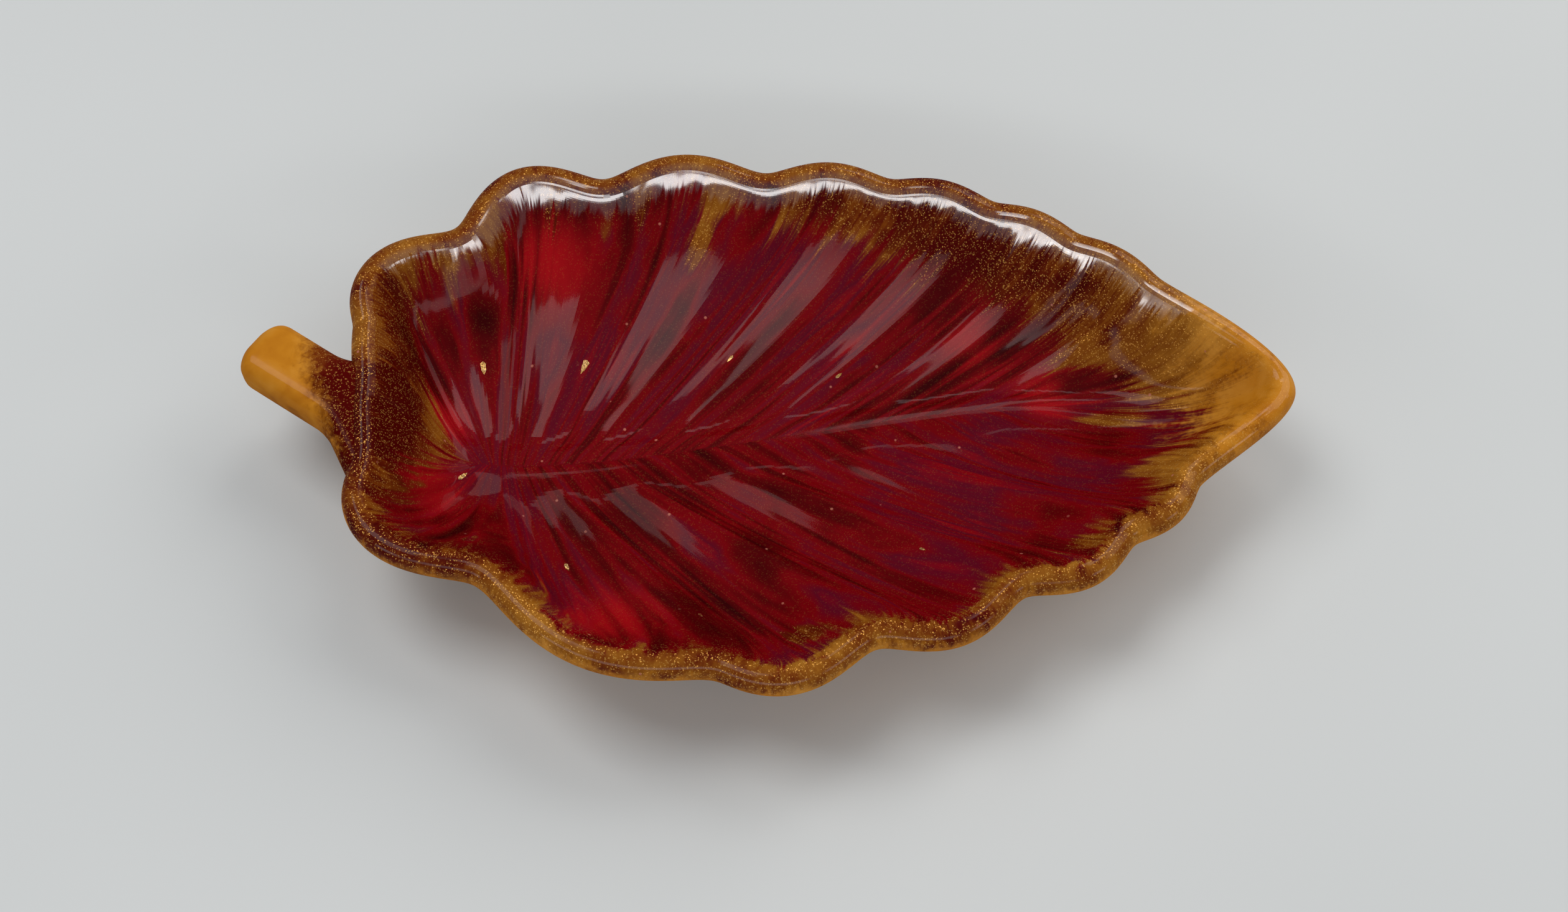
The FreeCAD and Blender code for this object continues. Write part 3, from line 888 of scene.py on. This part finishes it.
def stem_section(place):
    """Return one section across the stem, at a place along it, as points round a rounded bar."""
    taken = end_rounding(place, STEM_END_RADIUS)
    near = STEM_WIDTH / 2 + flare(place, STEM_NEAR_FLARE_START) - taken
    far = STEM_WIDTH / 2 + flare(place, STEM_FAR_FLARE_START) - taken
    half_height = STEM_THICKNESS / 2 - end_rounding(place, STEM_EDGE_RADIUS)
    radius = min(STEM_EDGE_RADIUS, near, far, half_height)
    points = []
    for corner in range(4):
        middle = near - radius if corner in (0, 3) else radius - far
        level = half_height - radius if corner in (0, 1) else radius - half_height
        for step in range(STEM_EDGE_STEPS + 1):
            turn = math.pi / 2 * (corner + step / STEM_EDGE_STEPS)
            points.append((place, middle + radius * math.cos(turn), level + radius * math.sin(turn)))
    return points


def end_rounding(place, radius):
    """Return how much the stem is taken in near its free end."""
    past = max(place - (STEM_LENGTH - radius), 0.0)
    return radius - math.sqrt(max(radius**2 - past**2, 0.0))


def stem_points():
    """Return the sections of the stem from its root to its free end, in place."""
    straight = np.linspace(-STEM_INSET, STEM_LENGTH - STEM_END_RADIUS, STEM_STEPS)
    turns = np.linspace(0, np.pi / 2, 2 * STEM_EDGE_STEPS)[1:]
    bend = STEM_LENGTH - STEM_END_RADIUS + STEM_END_RADIUS * np.sin(turns)
    sections = np.array([stem_section(place) for place in np.concatenate([straight, bend])])
    turn = math.radians(STEM_ANGLE)
    ahead = np.array([math.cos(turn), math.sin(turn), 0])
    aside = np.array([-math.sin(turn), math.cos(turn), 0])
    middle = np.array([*STEM_ROOT, RIM_HEIGHT - NOTCH_DIP - STEM_DROP - STEM_THICKNESS / 2])
    return middle + sections[..., :1] * ahead + sections[..., 1:2] * aside + sections[..., 2:] * UP


def bar_mesh(name, sections):
    """Return a closed mesh through sections that follow each other."""
    work = bmesh.new()
    rings = [[work.verts.new(point * MM) for point in section] for section in sections]
    for ring, after in zip(rings, rings[1:]):
        for number in range(len(ring)):
            work.faces.new([ring[number - 1], ring[number], after[number], after[number - 1]])
    work.faces.new(rings[0])
    work.faces.new(rings[-1])
    bmesh.ops.remove_doubles(work, verts=work.verts, dist=WELD_GAP)
    mesh = bpy.data.meshes.new(name)
    store(work, mesh)
    return mesh


def make_stem(block, material):
    """Make the stub stem, a rounded bar cut to fit the leaf."""
    mesh = cut_by(bar_mesh("amber_stem", stem_points()), block)
    trim_stem(mesh)
    set_stem_values(mesh)
    mesh.shade_smooth()
    mesh.set_sharp_from_angle(angle=math.radians(SHARP_ANGLE))
    add_piece("amber_stem_resin", mesh, material, ["amber_stem"])


def cut_by(mesh, block):
    """Return a mesh with another one cut out of it."""
    whole = add_object("whole", mesh)
    tool = add_object("tool", block)
    cut = whole.modifiers.new("cut", "BOOLEAN")
    cut.operation = "DIFFERENCE"
    cut.solver = "EXACT"
    cut.object = tool
    depsgraph = bpy.context.evaluated_depsgraph_get()
    result = bpy.data.meshes.new_from_object(whole.evaluated_get(depsgraph))
    for item in (whole, tool):
        bpy.data.objects.remove(item)
    return result


def trim_stem(mesh):
    """Take away what is left of the stem inside the crest of the lip."""
    work = bmesh.new()
    work.from_mesh(mesh)
    cut_across(work, STEM_ROOT[0] + LIP_RADIUS, keep_beyond=False)
    rims = [edge for edge in work.edges if edge.is_boundary]
    if rims:
        bmesh.ops.edgeloop_fill(work, edges=rims)
    store(work, mesh)


def set_stem_values(mesh):
    """Give the stem its place in the colours: amber, with the gold of the leaf spilt on top of its root."""
    places = read_values(mesh.vertices, "co", 3, np.float32) / MM
    away = STEM_ROOT[0] - places[:, 0]
    spill = np.interp(places[:, 1], SPILL_SIDES, SPILL_REACHES)
    under_top = RIM_HEIGHT - SPILL_DEPTH - places[:, 2]
    amber = np.maximum(away - spill, under_top) * SPILL_SOFTNESS
    set_values(mesh, "amber_level", amber)
    set_values(mesh, "vein_place", np.zeros_like(places))
    for name, level in STEM_LEVELS.items():
        set_values(mesh, name, np.full(len(places), level))


def face_point(half, along, across):
    """Return one point of the face of the bowl."""
    return bowl_point(half, np.array([along]), 0.0, np.array([[across]]))[0, 0]


def make_flakes(halves, material):
    """Make the gold flakes as one group, each lying along the face at its place."""
    work = bmesh.new()
    for number, (name, along, across, length) in enumerate(FLAKES):
        half = halves[0] if name == "far" else halves[1]
        here = face_point(half, along, across)
        ahead = face_point(half, along, across + FLAKE_STEP)
        aside = face_point(half, along + FLAKE_STEP, across)
        forward = unit(ahead - here)
        upright = unit(np.cross(aside - here, ahead - here))
        upright = upright * np.sign(upright[2])
        side = np.cross(upright, forward)
        add_flake(work, number, length, here, forward, side, upright)
    mesh = bpy.data.meshes.new("gold_flakes")
    store(work, mesh)
    add_piece("gold_flakes_foil", mesh, material, ["gold_flakes"])


def add_flake(work, number, length, here, forward, side, upright):
    """Add one ragged plate to the flakes."""
    base = here - upright * (FLAKE_THICKNESS - FLAKE_PROUD)
    low = []
    high = []
    for corner in range(FLAKE_CORNERS):
        turn = 2 * math.pi * corner / FLAKE_CORNERS
        reach = length / 2 * (1 + FLAKE_RAGGEDNESS * math.sin(FLAKE_WANDER * corner + number))
        breadth = reach * FLAKE_SLIMNESS
        place = base + forward * (reach * math.cos(turn)) + side * (breadth * math.sin(turn))
        low.append(work.verts.new(place * MM))
        high.append(work.verts.new((place + upright * FLAKE_THICKNESS) * MM))
    work.faces.new(low)
    work.faces.new(high)
    for corner in range(FLAKE_CORNERS):
        work.faces.new([low[corner - 1], low[corner], high[corner], high[corner - 1]])


# Materials


class Tree:
    """A short way to write shader nodes."""

    def __init__(self, name):
        self.material = bpy.data.materials.new(name)
        self.material.use_nodes = True
        self.nodes = self.material.node_tree.nodes
        self.links = self.material.node_tree.links
        self.nodes.clear()
        self.place = self.add("TexCoord").outputs["Object"]

    def add(self, kind, inputs=None, **settings):
        """Add a node; inputs are values or sockets, by name or number."""
        node = self.nodes.new("ShaderNode" + kind)
        for key, value in settings.items():
            setattr(node, key, value)
        for key, value in (inputs or {}).items():
            if isinstance(value, bpy.types.NodeSocket):
                self.links.new(value, node.inputs[key])
            else:
                node.inputs[key].default_value = value
        return node

    def math(self, operation, first, second):
        """Return first and second put together by an operation."""
        return self.add("Math", {0: first, 1: second}, operation=operation).outputs[0]

    def mix(self, share, first, second):
        """Return a colour between two colours."""
        inputs = {"Factor": share, 6: first, 7: second}
        return self.add("Mix", inputs, data_type="RGBA").outputs[2]

    def stretch(self, vector, scale):
        """Return a vector with each of its parts made larger."""
        return self.vector_math("MULTIPLY", vector, scale)

    def noise(self, vector, scale, detail):
        """Return soft noise about one half."""
        inputs = {"Vector": vector, "Scale": scale, "Detail": detail, "Distortion": NOISE_DISTORTION}
        return self.add("TexNoise", inputs).outputs[0]

    def blend(self, values, weights):
        """Return the sum of the named values, each taken with its own weight."""
        total = None
        for name, weight in weights.items():
            part = self.math("MULTIPLY", values[name], weight)
            total = part if total is None else self.math("ADD", total, part)
        return total

    def vector_math(self, operation, *parts, output="Vector"):
        """Return vectors put together by an operation."""
        return self.add("VectorMath", dict(enumerate(parts)), operation=operation).outputs[output]

    def attribute(self, name, output):
        """Return a value stored on the mesh."""
        return self.add("Attribute", attribute_name=name).outputs[output]

    def ramp(self, share, stops):
        """Return a colour that runs through stops of (place, colour)."""
        node = self.add("ValToRGB", {0: share})
        elements = node.color_ramp.elements
        while len(elements) < len(stops):
            elements.new(0.5)  # the loop below sets its place
        for element, (place, colour) in zip(elements, stops):
            element.position = place
            element.color = (*colour, 1)
        return node.outputs[0]

    def band(self, value, low, high):
        """Return 0 below low and 1 above high, with a smooth bend between."""
        inputs = {"Value": value, "From Min": low, "From Max": high}
        return self.add("MapRange", inputs, interpolation_type="SMOOTHSTEP").outputs[0]

    def finished(self, inputs):
        """Return the material with a surface that has these inputs."""
        surface = self.add("BsdfPrincipled", inputs)
        self.add("OutputMaterial", {"Surface": surface.outputs[0]})
        return self.material


def make_noises(tree, vein):
    """Return the noises that the colours share, by name."""
    noises = {}
    for name, (scale, detail) in STREAK_NOISES.items():
        noises[name] = tree.noise(tree.stretch(vein, scale), 1.0, detail)
    for name, (scale, detail) in SPREAD_NOISES.items():
        noises[name] = tree.noise(tree.place, scale, detail)
    return noises


def make_zones(tree, vein, noises):
    """Return how far each zone holds at a point, from 0 to 1, by name."""
    zones = {}
    for name, (stored, wavers, edge) in ZONES.items():
        level = tree.attribute(stored, "Fac")
        for noise, amount in wavers.items():
            waver = tree.math("SUBTRACT", noises[noise], NOISE_MIDDLE)
            level = tree.math("ADD", level, tree.math("MULTIPLY", waver, amount))
        zones[name] = tree.band(level, *edge)
    below_crest = tree.math("SUBTRACT", 1.0, zones["crest"])
    zones["polish"] = tree.math("MULTIPLY", zones["polish"], below_crest)
    along_leaf = tree.add("SeparateXYZ", {0: tree.place}).outputs[0]
    zones["pale"] = tree.band(along_leaf, *[edge * MM for edge in PALE_GOLD])
    root = [part * MM for part in DARK_ROOT]
    from_root = tree.vector_math("DISTANCE", tree.place, root, output="Value")
    zones["root"] = tree.band(from_root, *[edge * MM for edge in DARK_GOLD])
    side = tree.add("SeparateXYZ", {0: vein}).outputs[2]
    zones["near"] = tree.band(side, *NEAR_HALF_EDGE)
    return zones


def marbled_colour(tree, noises, zones):
    """Return the colour of the red, gold and amber pours, marbled into each other."""
    red = tree.ramp(tree.blend(noises, RED_MARBLING), RED_STOPS)
    # paint the glow: brighter red for the light through the clearer resin and part of the room's reflection
    red = tree.mix(zones["painted_glow"], red, PAINTED_GLOW_COLOUR)
    lightening = tree.blend(zones, GOLD_LIGHTENING)
    gold = tree.ramp(tree.math("ADD", tree.blend(noises, GOLD_MARBLING), lightening), GOLD_STOPS)
    amber = tree.ramp(tree.blend(noises, AMBER_MARBLING), AMBER_STOPS)
    return tree.mix(zones["amber"], tree.mix(zones["gold"], red, gold), amber)


def with_specks(tree, colour):
    """Return a colour with a few small specks on it."""
    cells = tree.add("TexVoronoi", {"Vector": tree.place, "Scale": SPECK_SCALE})
    pick = tree.add("SeparateColor", {0: cells.outputs["Color"]}).outputs[0]
    inside = tree.band(cells.outputs["Distance"], *SPECK_EDGE)
    speck = tree.math("MULTIPLY", inside, tree.band(pick, *SPECK_PICK))
    return tree.mix(tree.math("MULTIPLY", speck, SPECK_STRENGTH), colour, SPECK_COLOUR)


def glitter_share(tree, cells, zones):
    """Return how much of a point is a grain of mica."""
    pick = tree.add("SeparateColor", {0: cells}).outputs[0]
    share = tree.math("ADD", tree.blend(zones, GLITTER_SHARES), LEAST_GLITTER)
    return tree.math("MULTIPLY", tree.band(pick, *GLITTER_PICK), share)


def glitter_normal(tree, cells, glitter):
    """Return the normal of the skin, which leans another way in each grain of mica."""
    normal = tree.add("NewGeometry").outputs["Normal"]
    middle = [NOISE_MIDDLE] * 3
    lean = tree.stretch(tree.vector_math("SUBTRACT", cells, middle), [GLITTER_LEAN] * 3)
    leaning = tree.vector_math("NORMALIZE", tree.vector_math("ADD", normal, lean))
    return tree.add("Mix", {"Factor": glitter, 4: normal, 5: leaning}, data_type="VECTOR").outputs[1]


def make_resin(name):
    """Return the marbled resin: red, gold mica and amber, by the zones that the mesh stores."""
    tree = Tree(name)
    vein = tree.attribute("vein_place", "Vector")
    noises = make_noises(tree, vein)
    zones = make_zones(tree, vein, noises)
    colour = with_specks(tree, marbled_colour(tree, noises, zones))
    cells = tree.add("TexVoronoi", {"Vector": tree.place, "Scale": GLITTER_SCALE}).outputs["Color"]
    glitter = glitter_share(tree, cells, zones)
    inputs = {
        "Base Color": tree.mix(glitter, colour, GLITTER_COLOUR),
        "Metallic": glitter,
        "Normal": glitter_normal(tree, cells, glitter),
        "Coat Weight": tree.math("ADD", tree.blend(zones, COAT_CHANGES), COAT_WEIGHT),
    }
    return tree.finished({**inputs, **RESIN_FINISH})


def make_foil(name):
    """Return bright gold foil with a crinkle."""
    tree = Tree(name)
    crinkle = tree.add("TexNoise", {"Vector": tree.place, **FOIL_CRINKLE}).outputs[0]
    bump = tree.add("Bump", {"Height": crinkle, **FOIL_BUMP}).outputs[0]
    return tree.finished({"Base Color": tree.ramp(crinkle, FOIL_STOPS), "Normal": bump, **FOIL_FINISH})


def make_table_top(name):
    """Return the plain pale floor."""
    tree = Tree(name)
    tone = tree.add("TexNoise", {"Vector": tree.place, **TABLE_TONE}).outputs[0]
    return tree.finished({"Base Color": tree.ramp(tone, TABLE_STOPS), **TABLE_FINISH})


# Stage


def aim(item, target):
    """Turn a light or camera to look at a point."""
    item.rotation_mode = "QUATERNION"
    item.rotation_quaternion = (Vector(target) - item.location).to_track_quat("-Z", "Y")


def add_light(name, place, size, power, colour):
    """Add a soft rectangular light that looks at the dish."""
    light = bpy.data.lights.new(name, "AREA")
    light.shape = "RECTANGLE"
    light.size, light.size_y = size
    light.energy = power
    light.color = colour
    item = add_object(name, light)
    item.location = place
    aim(item, LIGHT_TARGET)


def make_floor():
    """Add the floor that the dish stands on."""
    mesh = bpy.data.meshes.new("floor")
    corners = [(x * TABLE_REACH, y * TABLE_REACH, 0) for x, y in ((-1, -1), (1, -1), (1, 1), (-1, 1))]
    mesh.from_pydata(corners, [], [(0, 1, 2, 3)])
    mesh.materials.append(make_table_top("table_top"))
    floor = add_object("floor", mesh)


def make_room():
    """Give the scene an even light from all around."""
    world = bpy.data.worlds.new("room")
    world.use_nodes = True
    background = world.node_tree.nodes["Background"]
    background.inputs["Color"].default_value = ROOM_COLOUR
    background.inputs["Strength"].default_value = ROOM_STRENGTH
    bpy.context.scene.world = world


def make_camera():
    """Add the camera, in front of the dish and above it."""
    camera = bpy.data.cameras.new("camera")
    camera.sensor_width = CAMERA_SENSOR
    camera.lens = CAMERA_LENS
    item = add_object("camera", camera)
    elevation = math.radians(CAMERA_ELEVATION)
    item.location = (0, -CAMERA_DISTANCE * math.cos(elevation), CAMERA_DISTANCE * math.sin(elevation))
    aim(item, CAMERA_TARGET)
    bpy.context.scene.camera = item


def make_stage():
    """Add the floor, the lights and the camera."""
    make_floor()
    for light in LIGHTS:
        add_light(*light)
    make_room()
    make_camera()
    bpy.context.scene.view_settings.view_transform = "Standard"


def main():
    """Make the dish and its stage."""
    halves = [Half(FAR_NOTCHES, FAR_BULGES, 1.0), Half(NEAR_NOTCHES, NEAR_BULGES, -1.0)]
    materials = {slot: make_resin(slot) for slot in ("red_resin", "gold_mica_resin", "amber_resin")}
    block = make_leaf(halves, materials)
    make_stem(block, materials["amber_resin"])
    make_flakes(halves, make_foil("gold_flake"))
    make_stage()


main()
